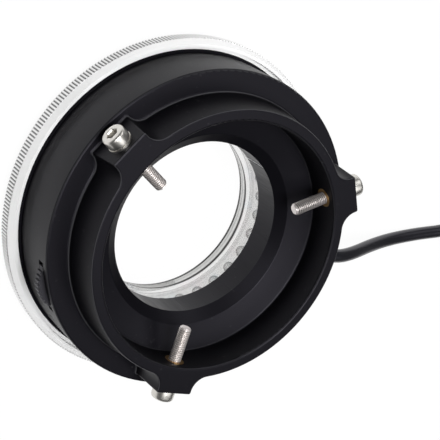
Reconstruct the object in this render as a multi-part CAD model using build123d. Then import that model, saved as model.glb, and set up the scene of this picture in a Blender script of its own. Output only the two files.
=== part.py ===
from build123d import *
import math
import os

# A ring light for a stereo microscope, lying on its front face.
# Z = 0 is the bench, +Z points up to the microscope and +X runs through one clamp screw.
# All sizes are in millimetres, and every bearing is in degrees from +X.

# Knurled front ring
lip_thickness = 0.8
lip_overlap = 1.63
front_face_wall = 0.97
ring_wall = 2.82
knurl_depth = 0.28
knurl_teeth = 324
knurl_from = 2.2
knurl_to = 5.4
ring_height = 7.0
rear_face_inset = 1.25
groove_depth = 0.87
thread_pitch = 0.75
thread_clearance = 0.08

# Window
plate_thickness = 1.6
window_clearance = 0.3
inner_lip_mouth_widening = 0.6
inner_lip_widening = 0.2
inner_lip_width = 2.5
inner_lip_height = 3.5
tube_wall = 1.4
gasket_thickness = 0.4
gasket_width = 1.4
gasket_margin = 0.4

# Housing
wall_radius = 39.6
wall_thickness = 2.0
spigot_step = 0.65
spigot_top = 5.5
rear_height = 20.2
rear_plate = 1.8
rear_edge_round = 0.5
floor_rise = 0.8
floor_edge_widening = 2.5
floor_fall = 1.7
floor_edge_round = 0.3
floor_root_round = 0.5

# Light bore and its split sleeve
bore_radius = 21.6
sleeve_wall = 1.3
sleeve_low = 9.9
sleeve_high = 17.2
sleeve_slit = 0.3
sleeve_slit_bearing = 23.2
sleeve_fit = 0.05
sleeve_holder_wall = 1.8
sleeve_holder_low = 15.0

# Clamp collar
total_height = 30.0
collar_bore_radius = 30.5
collar_root_radius = 34.3
collar_rim_radius = 33.25
collar_root_round = 0.6
collar_rim_round = 0.4
collar_mouth_round = 0.6
ear_reach = 37.3
ear_root_half_width = 5.6
ear_rim_half_width = 4.75
ear_fillet = 4.0
ear_edge_round = 0.5
ear_bearings = {"a": 0.0, "b": 120.0, "c": 240.0}

# Clamp screws, M3 by 16, in brass inserts
screw_below_rim = 4.2
screw_radius = 1.5
screw_length = 16.0
screw_head_radius = 2.75
screw_head_height = 2.8
socket_across = 2.5
socket_depth = 1.3
screw_tip_chamfer = 0.35
head_chamfer = 0.45
washer_margin = 0.1
washer_thickness = 0.5
washer_hole_clearance = 0.1
insert_wall = 0.8
insert_length = 4.7
insert_proud = 0.1
insert_fit = 0.02
screw_running_clearance = 0.05

# Board, light emitting diodes and driver parts
board_sleeve_clearance = 0.4
board_wall_clearance = 0.6
board_front = 12.7
board_thickness = 1.2
lamp_radius = 1.5
lamp_tip = 7.9
lamp_shoulder = 9.0
lamp_tip_radius = 0.7
lamps_per_row = 30
inner_row_inset = 1.6
outer_row_inset = 3.8
resistor_length = 3.2
resistor_width = 1.6
resistor_height = 0.6
resistor_row_radius = 33.0
resistor_bearings = [20, 46, 72, 98, 124, 150, 208, 234, 260, 286]

# Board screws, M2, and their bosses in the housing
boss_radius = 2.5
boss_row_radius = 28.9
boss_bearings = [100, 220, 340]
board_screw_radius = 1.0
board_screw_head_radius = 1.9
board_screw_head_height = 1.3
board_screw_end = 17.6
board_screw_end_clearance = 0.2

# Dimmer wheel and its potentiometer
wheel_bearing = 179.0
wheel_inset = 6.1
wheel_radius = 7.8
wheel_teeth = 42
wheel_tooth_depth = 0.4
wheel_low = 16.25
wheel_thickness = 1.8
slot_length = 13.0
slot_low = 16.0
wheel_pocket_clearance = 0.4
dial_body_radius = 3.8
dial_body_height = 1.9
dial_shaft_radius = 1.0
dial_running_clearance = 0.05
wheel_cap_radius = 1.7
wheel_cap_depth = 0.7
wheel_cap_fit = 0.05

# Cable outlet, cable, coil and plug
outlet_bearing = -34.5
relief_ring_clearance = 0.3
relief_neck_wall = 0.35
relief_flange_width = 8.0
relief_board_clearance = 0.15
relief_flange_thickness = 0.9
relief_flange_clearance = 0.25
relief_neck_fit = 0.02
relief_collar_step = 0.4
relief_wall_gap = 0.15
relief_collar_length = 1.45
relief_root_wall = 1.1
relief_tip_wall = 0.4
relief_taper_length = 4.8
cable_radius = 1.8
first_run = 4.5
cable_points = [
    (48.0, -31.0, 9.1),
    (57.0, -33.8, 5.2),
    (66.0, -36.5, 2.5),
    (77.0, -39.4, 1.85),
    (88.0, -42.8, 1.85),
]
last_run = 15.0
wire_radius = 0.45
wire_spacing = 1.3
wire_reach = 2.4
wire_bend = 0.9
coil_centre = (123.0, -12.4)
coil_turn_radius = 29.4
coil_gap = 0.45
coil_lift = 0.7
half_turns_per_layer = 8
tie_width = 3.0
tie_thickness = 0.5
tie_gap = 0.3
tie_inner_gap = 0.9
tie_low_gap = 0.2
tie_twist_radius = 1.0
tie_twist_length = 9.0
tail_run = 11.0
tail_drift = 1.5
plug_relief_tip_wall = 0.6
plug_relief_root_wall = 1.8
plug_relief_length = 11.0
plug_grip_radius = 5.2
plug_grip_length = 21.0
plug_grip_round = 0.8
barrel_radius = 2.75
barrel_wall = 0.35
barrel_length = 9.5
insulator_fit = 0.02
pin_hole_radius = 1.05
pin_hole_depth = 8.0

# What follows from the sizes above: the window, the housing and the light bore
window_low = lip_thickness
window_high = window_low + plate_thickness
skirt_low = window_high + gasket_thickness
plate_underside = rear_height - rear_plate
floor_height = rear_height + floor_rise
floor_edge_height = floor_height - floor_fall
floor_edge_radius = bore_radius + floor_edge_widening
inner_lip_mouth_radius = bore_radius + inner_lip_mouth_widening
inner_lip_radius = bore_radius + inner_lip_widening
sleeve_outer_radius = bore_radius + sleeve_wall
wall_inner_radius = wall_radius - wall_thickness
spigot_radius = wall_radius + spigot_step

# The front ring, from its thread outwards and inwards
thread_radius = spigot_radius + thread_clearance
groove_radius = thread_radius + groove_depth
front_face_radius = thread_radius + front_face_wall
knurl_tip_radius = thread_radius + ring_wall
knurl_root_radius = knurl_tip_radius - knurl_depth
ring_rear_radius = knurl_tip_radius - rear_face_inset
window_radius = thread_radius - window_clearance
lip_radius = window_radius - lip_overlap

# The board between the sleeve and the wall, and the dimmer wheel in the wall
board_rear = board_front + board_thickness
board_inner_radius = sleeve_outer_radius + board_sleeve_clearance
board_outer_radius = wall_inner_radius - board_wall_clearance
inner_row_radius = board_inner_radius + inner_row_inset
outer_row_radius = board_outer_radius - outer_row_inset
wheel_centre_radius = wall_radius - wheel_inset
wheel_high = wheel_low + wheel_thickness

# The clamp screws, their washers and inserts
screw_height = total_height - screw_below_rim
washer_radius = screw_head_radius + washer_margin
washer_hole_radius = screw_radius + washer_hole_clearance
insert_radius = screw_radius + screw_running_clearance + insert_wall
head_seat = ear_reach + washer_thickness
screw_tip = head_seat - screw_length

# The cable's outlet over the ring, its strain relief, coil and plug
cable_diameter = 2 * cable_radius
outlet_radius = cable_radius + relief_neck_wall
relief_root_radius = cable_radius + relief_root_wall
relief_tip_radius = cable_radius + relief_tip_wall
relief_collar_radius = relief_root_radius + relief_collar_step
relief_collar_from = wall_radius + relief_wall_gap
relief_collar_to = relief_collar_from + relief_collar_length
relief_end = relief_collar_to + relief_taper_length
outlet_height = ring_height + relief_ring_clearance + relief_collar_radius
relief_flange_height = 2 * (board_front - relief_board_clearance - outlet_height)
coil_pitch = cable_diameter + coil_gap
coil_low = cable_radius + coil_lift
coil_high = coil_low + coil_pitch
plug_tip_radius = cable_radius + plug_relief_tip_wall
plug_root_radius = cable_radius + plug_relief_root_wall


def section_solid(points):
    """A solid of revolution about Z from the (radius, height) points of its section."""
    outline = Polyline(*[(radius, 0, height) for radius, height in points], close=True)
    return revolve(make_face(outline), Axis.Z)


def tube_solid(inner, outer, low, high):
    """A plain ring between two radii and two heights."""
    return section_solid([(inner, low), (outer, low), (outer, high), (inner, high)])


def standing_rod(radius, low, high, centre=(0, 0)):
    """A cylinder along Z."""
    rod = Cylinder(radius, high - low, align=(Align.CENTER, Align.CENTER, Align.MIN))
    return Pos(centre[0], centre[1], low) * rod


def radial_rod(radius, start, end, bearing, height):
    """A cylinder along the radius at a bearing, from one distance off the axis to another."""
    rod = Cylinder(radius, end - start, align=(Align.CENTER, Align.CENTER, Align.MIN))
    return Rot(0, 0, bearing) * Pos(start, 0, height) * Rot(0, 90, 0) * rod


def at_bearing(radius, bearing):
    """The plan position at a distance off the axis and a bearing."""
    angle = math.radians(bearing)
    return radius * math.cos(angle), radius * math.sin(angle)


def circle_edges(solid, radius, height, tolerance=0.02):
    """The circular edges of a solid about Z at one radius and height."""
    found = []
    for edge in solid.edges().filter_by(GeomType.CIRCLE):
        centre = edge.arc_center
        same_height = abs(centre.Z - height) < tolerance
        on_axis = math.hypot(centre.X, centre.Y) < tolerance
        if same_height and on_axis and abs(edge.radius - radius) < tolerance:
            found.append(edge)
    return found


def collar_cone_radius(height):
    """The collar's outer radius, which shrinks towards the rim."""
    share = (height - rear_height) / (total_height - rear_height)
    return collar_root_radius + share * (collar_rim_radius - collar_root_radius)


def ear_block(bearing):
    """One ear: upright outer flat, sides drawn in towards the rim."""
    inner = (collar_bore_radius + collar_rim_radius) / 2
    length = ear_reach - inner
    root_face = Pos(inner + length / 2, 0, rear_height) * Rectangle(length, 2 * ear_root_half_width)
    rim_face = Pos(inner + length / 2, 0, total_height) * Rectangle(length, 2 * ear_rim_half_width)
    block = loft([root_face, rim_face])
    corners = [edge for edge in block.edges() if is_upright_corner(edge)]
    return Rot(0, 0, bearing) * fillet(corners, ear_edge_round)


def is_upright_corner(edge):
    """Whether an edge of an ear runs up its outer flat."""
    low, high = sorted([edge @ 0, edge @ 1], key=lambda point: point.Z)
    return min(low.X, high.X) > ear_reach - 0.01 and high.Z - low.Z > 5


def ear_corner_edges(collar):
    """The edges where the ears' sides run into the cone, one on each side of each ear."""
    middle = (rear_height + total_height) / 2
    radius = collar_cone_radius(middle)
    half_width = (ear_root_half_width + ear_rim_half_width) / 2
    found = []
    for edge in collar.edges():
        point = edge.position_at(0.5)
        if abs(point.Z - middle) > 1.5 or edge.bounding_box().size.Z < 5:
            continue
        for bearing in ear_bearings.values():
            along = Vector(*at_bearing(1, bearing))
            across = abs(point.X * along.Y - point.Y * along.X)
            outwards = point.X * along.X + point.Y * along.Y
            off_axis = math.hypot(point.X, point.Y)
            if outwards > 0 and abs(across - half_width) < 0.4 and abs(off_axis - radius) < 0.4:
                found.append(edge)
    return found


def collar_foot_edges(body):
    """The edges where the collar and its ears stand on the rear plate."""
    found = []
    for edge in body.edges():
        box = edge.bounding_box()
        level = box.size.Z < 0.01 and abs(box.max.Z - rear_height) < 0.01
        point = edge.position_at(0.5)
        if level and math.hypot(point.X, point.Y) < ear_reach + 0.5:
            found.append(edge)
    return found


def collar_solid():
    """The clamp collar with its three filleted ears, before it is bored."""
    cone = section_solid(
        [(0, rear_height), (collar_root_radius, rear_height), (collar_rim_radius, total_height), (0, total_height)]
    )
    for bearing in ear_bearings.values():
        cone += ear_block(bearing)
    cone = fillet(ear_corner_edges(cone), ear_fillet)
    rim = cone.faces().sort_by(Axis.Z)[-1]
    return fillet(rim.outer_wire().edges(), collar_rim_round)


def housing_shell():
    """The turned form of the housing: skirt, wall, rear plate, mouth cone and sleeve holder."""
    holder_inner = sleeve_outer_radius + sleeve_fit
    holder_outer = holder_inner + sleeve_holder_wall
    shell = section_solid(
        [
            (wall_inner_radius, skirt_low),
            (spigot_radius, skirt_low),
            (spigot_radius, spigot_top),
            (wall_radius, spigot_top),
            (wall_radius, rear_height),
            (collar_root_radius - 1, rear_height),
            (collar_root_radius - 1, floor_height),
            (collar_bore_radius, floor_height),
            (floor_edge_radius, floor_edge_height),
            (bore_radius, sleeve_high),
            (holder_inner, sleeve_high),
            (holder_inner, sleeve_holder_low),
            (holder_outer, sleeve_holder_low),
            (holder_outer, plate_underside),
            (wall_inner_radius, plate_underside),
        ]
    )
    shell = fillet(circle_edges(shell, wall_radius, rear_height), rear_edge_round)
    return fillet(circle_edges(shell, floor_edge_radius, floor_edge_height), floor_edge_round)


def housing():
    """The black moulded housing with its collar, bosses and openings."""
    body = housing_shell()
    collar = collar_solid() - standing_rod(collar_bore_radius, rear_height - 1, total_height + 1)
    body += collar
    body = fillet(circle_edges(body, collar_bore_radius, floor_height), floor_root_round)
    body = fillet(circle_edges(body, collar_bore_radius, total_height), collar_mouth_round)
    body = fillet(collar_foot_edges(body), collar_root_round)
    for bearing in boss_bearings:
        body += standing_rod(boss_radius, board_rear, plate_underside, at_bearing(boss_row_radius, bearing))
    for bearing in boss_bearings:
        centre = at_bearing(boss_row_radius, bearing)
        hole = board_screw_radius + screw_running_clearance
        body -= standing_rod(hole, board_rear - 1, board_screw_end + board_screw_end_clearance, centre)
    for bearing in ear_bearings.values():
        body -= radial_rod(insert_radius, collar_bore_radius - 2, insert_end(), bearing, screw_height)
        body -= radial_rod(washer_hole_radius, insert_end() - 1, ear_reach + 2, bearing, screw_height)
    body -= wheel_pocket()
    body -= radial_rod(outlet_radius, wall_inner_radius - 1, wall_radius + 1, outlet_bearing, outlet_height)
    return body


def insert_end():
    """How far off the axis the brass inserts reach."""
    return collar_bore_radius - insert_proud + insert_length


def wheel_pocket():
    """The slot in the wall that the dimmer wheel shows through, relieved round the wheel."""
    slot_height = plate_underside - slot_low
    wall_middle = wall_radius - wall_thickness / 2
    slot = Pos(wall_middle, 0, slot_low + slot_height / 2) * Box(wall_thickness + 2, slot_length, slot_height)
    relief = standing_rod(
        wheel_radius + wheel_pocket_clearance, slot_low, plate_underside, (wheel_centre_radius, 0)
    )
    return Rot(0, 0, wheel_bearing) * (slot + relief)


def inner_sleeve():
    """The rolled liner of the light bore, with the slit where its ends meet."""
    sleeve = tube_solid(bore_radius, sleeve_outer_radius, sleeve_low, sleeve_high)
    height = sleeve_high - sleeve_low
    middle = (bore_radius + sleeve_outer_radius) / 2
    slit = Pos(middle, 0, sleeve_low + height / 2) * Box(2 * sleeve_wall, sleeve_slit, height + 1)
    return sleeve - Rot(0, 0, sleeve_slit_bearing) * slit


def knurl_band():
    """The knurled land: an upright prism whose outline is a ring of straight teeth."""
    points = []
    for step in range(2 * knurl_teeth):
        radius = knurl_tip_radius if step % 2 == 0 else knurl_root_radius
        points.append(at_bearing(radius, step * 180 / knurl_teeth))
    outline = make_face(Polyline(*points, close=True))
    land = extrude(Pos(0, 0, knurl_from) * outline, knurl_to - knurl_from)
    return land - standing_rod(groove_radius, knurl_from - 1, knurl_to + 1)


def knurled_ring():
    """The screwed front ring: lip over the window, thread land, knurl and two chamfers."""
    ring = section_solid(
        [
            (lip_radius, 0),
            (front_face_radius, 0),
            (knurl_root_radius, knurl_from),
            (knurl_root_radius, knurl_to),
            (ring_rear_radius, ring_height),
            (groove_radius, ring_height),
            (groove_radius, spigot_top),
            (thread_radius, spigot_top),
            (thread_radius, lip_thickness),
            (lip_radius, lip_thickness),
        ]
    )
    return ring + knurl_band()


def window():
    """The clear cover: front plate, thick inner lip and the tube that meets the sleeve."""
    tube_outer = bore_radius + tube_wall
    lip_outer = inner_lip_radius + inner_lip_width
    return section_solid(
        [
            (inner_lip_mouth_radius, 0),
            (lip_outer, 0),
            (lip_outer, window_low),
            (window_radius, window_low),
            (window_radius, window_high),
            (lip_outer, window_high),
            (lip_outer, inner_lip_height),
            (tube_outer, inner_lip_height),
            (tube_outer, sleeve_low),
            (bore_radius, sleeve_low),
            (bore_radius, inner_lip_height),
            (inner_lip_radius, inner_lip_height),
        ]
    )


def window_gasket():
    """The flat rubber ring between the window and the housing's skirt."""
    inner = wall_inner_radius + gasket_margin
    return tube_solid(inner, inner + gasket_width, window_high, skirt_low)


def led_board():
    """The ring-shaped circuit board with its screw holes."""
    board = tube_solid(board_inner_radius, board_outer_radius, board_front, board_rear)
    hole = board_screw_radius + screw_running_clearance
    for bearing in boss_bearings:
        centre = at_bearing(boss_row_radius, bearing)
        board -= standing_rod(hole, board_front - 1, board_rear + 1, centre)
    return board


def lamp():
    """One round light emitting diode, pointing down, on the Z axis."""
    return section_solid(
        [
            (0, lamp_tip),
            (lamp_tip_radius, lamp_tip),
            (lamp_radius, lamp_shoulder),
            (lamp_radius, board_front),
            (0, board_front),
        ]
    )


def lamp_row(radius, first_bearing):
    """One ring of lamps."""
    single = lamp()
    step = 360 / lamps_per_row
    row = []
    for index in range(lamps_per_row):
        x, y = at_bearing(radius, first_bearing + index * step)
        row.append(Pos(x, y, 0) * single)
    return Compound(children=row)


def resistors():
    """The chip resistors on the rear of the board."""
    chips = []
    for bearing in resistor_bearings:
        x, y = at_bearing(resistor_row_radius, bearing)
        chip = Box(resistor_width, resistor_length, resistor_height)
        chips.append(Pos(x, y, board_rear + resistor_height / 2) * Rot(0, 0, bearing) * chip)
    return Compound(children=chips)


def board_screws():
    """The three screws that hold the board to the housing's bosses."""
    screws = []
    for bearing in boss_bearings:
        centre = at_bearing(boss_row_radius, bearing)
        head_low = board_front - board_screw_head_height
        screw = standing_rod(board_screw_head_radius, head_low, board_front, centre)
        screw += standing_rod(board_screw_radius, board_front, board_screw_end, centre)
        screws.append(screw)
    return Compound(children=screws)


def dimmer_dial():
    """The potentiometer: a flat can on the board with its shaft."""
    can = standing_rod(dial_body_radius, board_rear, board_rear + dial_body_height)
    shaft = standing_rod(dial_shaft_radius, board_rear, wheel_high - wheel_cap_depth)
    return wheel_place() * (can + shaft)


def wheel_place():
    """Where the wheel's axis stands."""
    x, y = at_bearing(wheel_centre_radius, wheel_bearing)
    return Pos(x, y, 0)


def dimmer_wheel():
    """The ribbed thumbwheel with its shaft hole and the recess for its cap."""
    root = wheel_radius - wheel_tooth_depth
    step = 360 / wheel_teeth
    points = []
    for index in range(wheel_teeth):
        points.append(at_bearing(root, (index - 0.32) * step))
        points.append(at_bearing(wheel_radius, (index - 0.16) * step))
        points.append(at_bearing(wheel_radius, (index + 0.16) * step))
        points.append(at_bearing(root, (index + 0.32) * step))
    disc = extrude(Pos(0, 0, wheel_low) * make_face(Polyline(*points, close=True)), wheel_thickness)
    disc -= standing_rod(dial_shaft_radius + dial_running_clearance, wheel_low - 1, wheel_high + 1)
    disc -= standing_rod(wheel_cap_radius + wheel_cap_fit, wheel_high - wheel_cap_depth, wheel_high + 1)
    return wheel_place() * disc


def wheel_cap():
    """The small cap that closes the wheel over its shaft."""
    return wheel_place() * standing_rod(wheel_cap_radius, wheel_high - wheel_cap_depth, wheel_high)


def thread_insert(bearing):
    """The brass insert that a clamp screw runs in."""
    start = insert_end() - insert_length
    insert = radial_rod(insert_radius - insert_fit, start, insert_end(), bearing, screw_height)
    hole = screw_radius + screw_running_clearance
    return insert - radial_rod(hole, start - 1, insert_end() + 1, bearing, screw_height)


def clamp_washer(bearing):
    """The washer under a clamp screw's head."""
    washer = radial_rod(washer_radius, ear_reach, head_seat, bearing, screw_height)
    return washer - radial_rod(washer_hole_radius, ear_reach - 1, head_seat + 1, bearing, screw_height)


def clamp_screw(bearing):
    """A socket cap screw, head outwards, with its tip towards the axis."""
    shank = Pos(0, 0, screw_tip) * Cylinder(
        screw_radius, screw_length, align=(Align.CENTER, Align.CENTER, Align.MIN)
    )
    shank = chamfer(shank.edges().sort_by(Axis.Z)[0], screw_tip_chamfer)
    head = Pos(0, 0, head_seat) * Cylinder(
        screw_head_radius, screw_head_height, align=(Align.CENTER, Align.CENTER, Align.MIN)
    )
    head = chamfer(head.edges().sort_by(Axis.Z)[-1], head_chamfer)
    head_end = head_seat + screw_head_height
    socket = RegularPolygon(socket_across / 2, 6, major_radius=False)
    screw = shank + head - extrude(Pos(0, 0, head_end) * socket, -socket_depth)
    return Rot(0, 0, bearing) * Pos(0, 0, screw_height) * Rot(0, 90, 0) * screw


def strain_relief():
    """The moulded bush of the cable: flange inside the wall, neck, collar and taper."""
    flange_outer = wall_inner_radius - relief_flange_clearance
    flange_middle = flange_outer - relief_flange_thickness / 2
    flange = Pos(flange_middle, 0, outlet_height) * Box(
        relief_flange_thickness, relief_flange_width, relief_flange_height
    )
    neck = radial_rod(
        outlet_radius - relief_neck_fit, flange_outer - 0.2, relief_collar_from + 0.2, 0, outlet_height
    )
    collar = radial_rod(relief_collar_radius, relief_collar_from, relief_collar_to, 0, outlet_height)
    taper = Cone(
        relief_root_radius,
        relief_tip_radius,
        relief_end - relief_collar_to,
        align=(Align.CENTER, Align.CENTER, Align.MIN),
    )
    taper = Pos(relief_collar_to, 0, outlet_height) * Rot(0, 90, 0) * taper
    return Rot(0, 0, outlet_bearing) * (flange + neck + collar + taper)


def lead_wires():
    """The cable's two cores, from the relief's flange in and up to the board."""
    start = wall_inner_radius - relief_flange_clearance - relief_flange_thickness
    wires = []
    for side in (-1, 1):
        aside = side * wire_spacing / 2
        path = FilletPolyline(
            (start, aside, outlet_height),
            (start - wire_reach, aside, outlet_height),
            (start - wire_reach, aside, board_front),
            radius=wire_bend,
        )
        section = Plane(origin=path @ 0, z_dir=path % 0) * Circle(wire_radius)
        wires.append(Rot(0, 0, outlet_bearing) * sweep(section, path))
    return Compound(children=wires)


def corner_radii(points):
    """The largest even arc at each corner of a route: 0.45 of its shorter run over tan(half turn)."""
    radii = []
    for before, here, after in zip(points, points[1:], points[2:]):
        run_in = Vector(*here) - Vector(*before)
        run_out = Vector(*after) - Vector(*here)
        turn = run_in.get_angle(run_out)
        shorter = min(run_in.length, run_out.length)
        radii.append(0.45 * shorter / math.tan(math.radians(turn / 2)))
    return radii


def round_tube(name, path):
    """A round cord swept along a path, with its volume against section times length."""
    section = Plane(origin=path @ 0, z_dir=path % 0) * Circle(cable_radius)
    tube = sweep(section, path)
    ratio = tube.volume / (math.pi * cable_radius**2 * path.length)
    print(name, "length", round(path.length, 1), "volume over section times length", round(ratio, 4))
    return tube


def cord_tube(name, points):
    """A free stretch of cord: straight runs joined by tangent arcs."""
    radii = corner_radii(points)
    print(name, "radii", [round(radius, 1) for radius in radii])
    return round_tube(name, FilletPolyline(*points, radius=radii))


def cable_route():
    """The free cable: straight out of the relief, then the chosen points, then the coil's lead-in."""
    tip = (*at_bearing(relief_end, outlet_bearing), outlet_height)
    straight = (*at_bearing(relief_end + first_run, outlet_bearing), outlet_height)
    x, y = coil_centre[0] - cable_diameter, coil_centre[1] - coil_turn_radius
    return [tip, straight, *cable_points, (x - last_run, y, coil_low), (x, y, coil_low)]


def east_half(centre_offset, radius, height):
    """Half a turn from the coil's south side over the east to the north."""
    x, y = coil_centre[0], coil_centre[1] + centre_offset
    return ThreePointArc((x, y - radius, height), (x + radius, y, height), (x, y + radius, height))


def west_half(centre_offset, radius, height):
    """Half a turn from the coil's north side over the west to the south."""
    x, y = coil_centre[0], coil_centre[1] + centre_offset
    return ThreePointArc((x, y + radius, height), (x - radius, y, height), (x, y - radius, height))


def biarc(start, start_direction, end, end_direction):
    """Two arcs that join two points and keep the direction at both."""
    span = end - start
    both = start_direction + end_direction
    spread = 2 * (1 - start_direction.dot(end_direction))
    along = span.dot(both)
    reach = (-along + math.sqrt(along**2 + spread * span.dot(span))) / spread
    first_corner = start + start_direction * reach
    second_corner = end - end_direction * reach
    middle = (first_corner + second_corner) * 0.5
    return [
        TangentArc(start, middle, tangent=start_direction),
        TangentArc(middle, end, tangent=second_corner - first_corner),
    ]


def climb(radius):
    """The half turn on the coil's inside that rises from the lower layer to the upper one."""
    x, y = coil_centre
    slope = 2 * coil_pitch / (math.pi * radius)
    south = Vector(x, y - radius, coil_low)
    east = Vector(x + radius, y, (coil_low + coil_high) / 2)
    north = Vector(x, y + radius, coil_high)
    rising = Vector(0, 1, slope).normalized()
    return biarc(south, Vector(1, 0, 0), east, rising) + biarc(east, rising, north, Vector(-1, 0, 0))


def coil_path():
    """One line through the coil: spiral in on the floor layer, climb, spiral out above."""
    x, y = coil_centre
    start = (x - cable_diameter, y - coil_turn_radius, coil_low)
    pieces = [Line(start, (x, y - coil_turn_radius, coil_low))]
    for index in range(half_turns_per_layer):
        radius = coil_turn_radius - index * coil_pitch / 2
        if index % 2 == 0:
            pieces.append(east_half(0, radius, coil_low))
        else:
            pieces.append(west_half(coil_pitch / 2, radius, coil_low))
    pieces += climb(coil_turn_radius - half_turns_per_layer * coil_pitch / 2)
    for index in range(1, half_turns_per_layer):
        radius = coil_turn_radius - (half_turns_per_layer - index) * coil_pitch / 2
        if index % 2 == 0:
            pieces.append(east_half(0, radius, coil_high))
        else:
            pieces.append(west_half(-coil_pitch / 2, radius, coil_high))
    south = Vector(x, y - coil_turn_radius, coil_high)
    east = Vector(x + coil_turn_radius, y, coil_high)
    pieces.append(TangentArc(south, east, tangent=(1, 0, 0)))
    pieces.append(Line(east, east + Vector(0, cable_diameter, 0)))
    return Wire([edge for piece in pieces for edge in piece.edges()])


def least_self_gap(path):
    """The least gap between two stretches of the coil, measured on points a millimetre apart."""
    count = int(path.length)
    points = [tuple(path.position_at(index / count)) for index in range(count + 1)]
    apart = int(4 * cable_diameter)
    least = min(
        math.dist(points[first], points[second])
        for first in range(count + 1)
        for second in range(first + apart, count + 1)
    )
    return least - cable_diameter


def cable_coil():
    """The length of cable that is put away, in one unbroken coil."""
    path = coil_path()
    print("cable_coil least gap to itself", round(least_self_gap(path), 3))
    return round_tube("cable_coil", path)


def tail_route():
    """The last stretch, from the coil's upper layer down to the plug on the floor."""
    x = coil_centre[0] + coil_turn_radius
    y = coil_centre[1] + cable_diameter
    plug_height = plug_grip_radius
    return [
        (x, y, coil_high),
        (x, y + tail_run, coil_high),
        (x - tail_drift, y + 2 * tail_run, plug_height),
        (x - 3 * tail_drift, y + 3 * tail_run, plug_height),
    ]


def plug_place():
    """The plug's own frame: its axis along the tail's last run."""
    before, end = tail_route()[-2:]
    return Plane(origin=end, z_dir=Vector(*end) - Vector(*before))


def plug_body():
    """The moulded plug: taper over the cable and a round grip, lying on the floor."""
    grip_end = plug_relief_length + plug_grip_length
    body = section_solid(
        [
            (0, 0),
            (plug_tip_radius, 0),
            (plug_root_radius, plug_relief_length),
            (plug_grip_radius, plug_relief_length),
            (plug_grip_radius, grip_end),
            (0, grip_end),
        ]
    )
    corners = circle_edges(body, plug_grip_radius, plug_relief_length)
    corners += circle_edges(body, plug_grip_radius, grip_end)
    return plug_place() * fillet(corners, plug_grip_round)


def plug_barrel():
    """The plug's metal sleeve."""
    start = plug_relief_length + plug_grip_length
    return plug_place() * tube_solid(barrel_radius - barrel_wall, barrel_radius, start, start + barrel_length)


def plug_insulator():
    """The black core inside the barrel, with its pin hole."""
    start = plug_relief_length + plug_grip_length
    end = start + barrel_length
    core = standing_rod(barrel_radius - barrel_wall - insulator_fit, start, end)
    return plug_place() * (core - standing_rod(pin_hole_radius, end - pin_hole_depth, end + 1))


def cable_tie():
    """The twist tie round the coil's turns on the side towards the light."""
    outer = coil_turn_radius - coil_pitch / 2 + cable_radius + tie_gap
    inner = coil_turn_radius - (half_turns_per_layer - 1) * coil_pitch / 2 - cable_radius - tie_inner_gap
    low = coil_low - cable_radius - tie_low_gap
    high = coil_high + cable_radius + tie_gap
    middle = Pos(coil_centre[0] - (outer + inner) / 2, coil_centre[1], (high + low) / 2)
    facing = Rot(90, 0, 0)
    window_outline = RectangleRounded(outer - inner, high - low, cable_radius)
    band_outline = offset(window_outline, tie_thickness)
    band = extrude(band_outline - window_outline, tie_width / 2, both=True)
    twist_height = (high - low) / 2 + tie_thickness + 0.8 * tie_twist_radius
    twist = Pos(0, twist_height, 0) * Cylinder(tie_twist_radius, tie_twist_length)
    return middle * facing * (band + twist)


def lamps():
    """Both rows of lamps, by node name; the outer row leaves room for the cable's cores."""
    step = 360 / lamps_per_row
    return {
        "inner_leds": lamp_row(inner_row_radius, 0),
        "outer_leds": lamp_row(outer_row_radius, outlet_bearing + step / 2),
    }


def nodes():
    """Every piece by its node name."""
    made = {
        "housing": housing(),
        "inner_sleeve": inner_sleeve(),
        "knurled_ring": knurled_ring(),
        "window": window(),
        "window_gasket": window_gasket(),
        "led_board": led_board(),
        "resistors": resistors(),
        "board_screws": board_screws(),
        "dimmer_dial": dimmer_dial(),
        "dimmer_wheel": dimmer_wheel(),
        "wheel_cap": wheel_cap(),
        "strain_relief": strain_relief(),
        "lead_wires": lead_wires(),
        "cable": cord_tube("cable", cable_route()),
        "cable_coil": cable_coil(),
        "cable_tail": cord_tube("cable_tail", tail_route()),
        "cable_tie": cable_tie(),
        "plug_body": plug_body(),
        "plug_barrel": plug_barrel(),
        "plug_insulator": plug_insulator(),
    }
    made.update(lamps())
    for letter, bearing in ear_bearings.items():
        made["thread_insert_" + letter] = thread_insert(bearing)
        made["clamp_washer_" + letter] = clamp_washer(bearing)
        made["clamp_screw_" + letter] = clamp_screw(bearing)
    return made


os.makedirs("parts", exist_ok=True)
for name, solid in nodes().items():
    solid.label = name
    export_step(solid, "parts/" + name + ".step")
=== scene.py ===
"""A ring light for a stereo microscope, lying on its front face on a pale bench.

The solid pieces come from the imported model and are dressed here. The clamp screws and the lamps are surfaces
worked out on grids, and the cable is one smooth round line. Lengths in the classes are in millimetres, in
the model's own frame: Z up out of the clamp collar, X through clamp screw a. The scale of a pattern is in
features per metre.
"""

import logging
import math
from dataclasses import dataclass
from enum import Enum

import bpy
import numpy as np
from mathutils import Matrix, Vector

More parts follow.
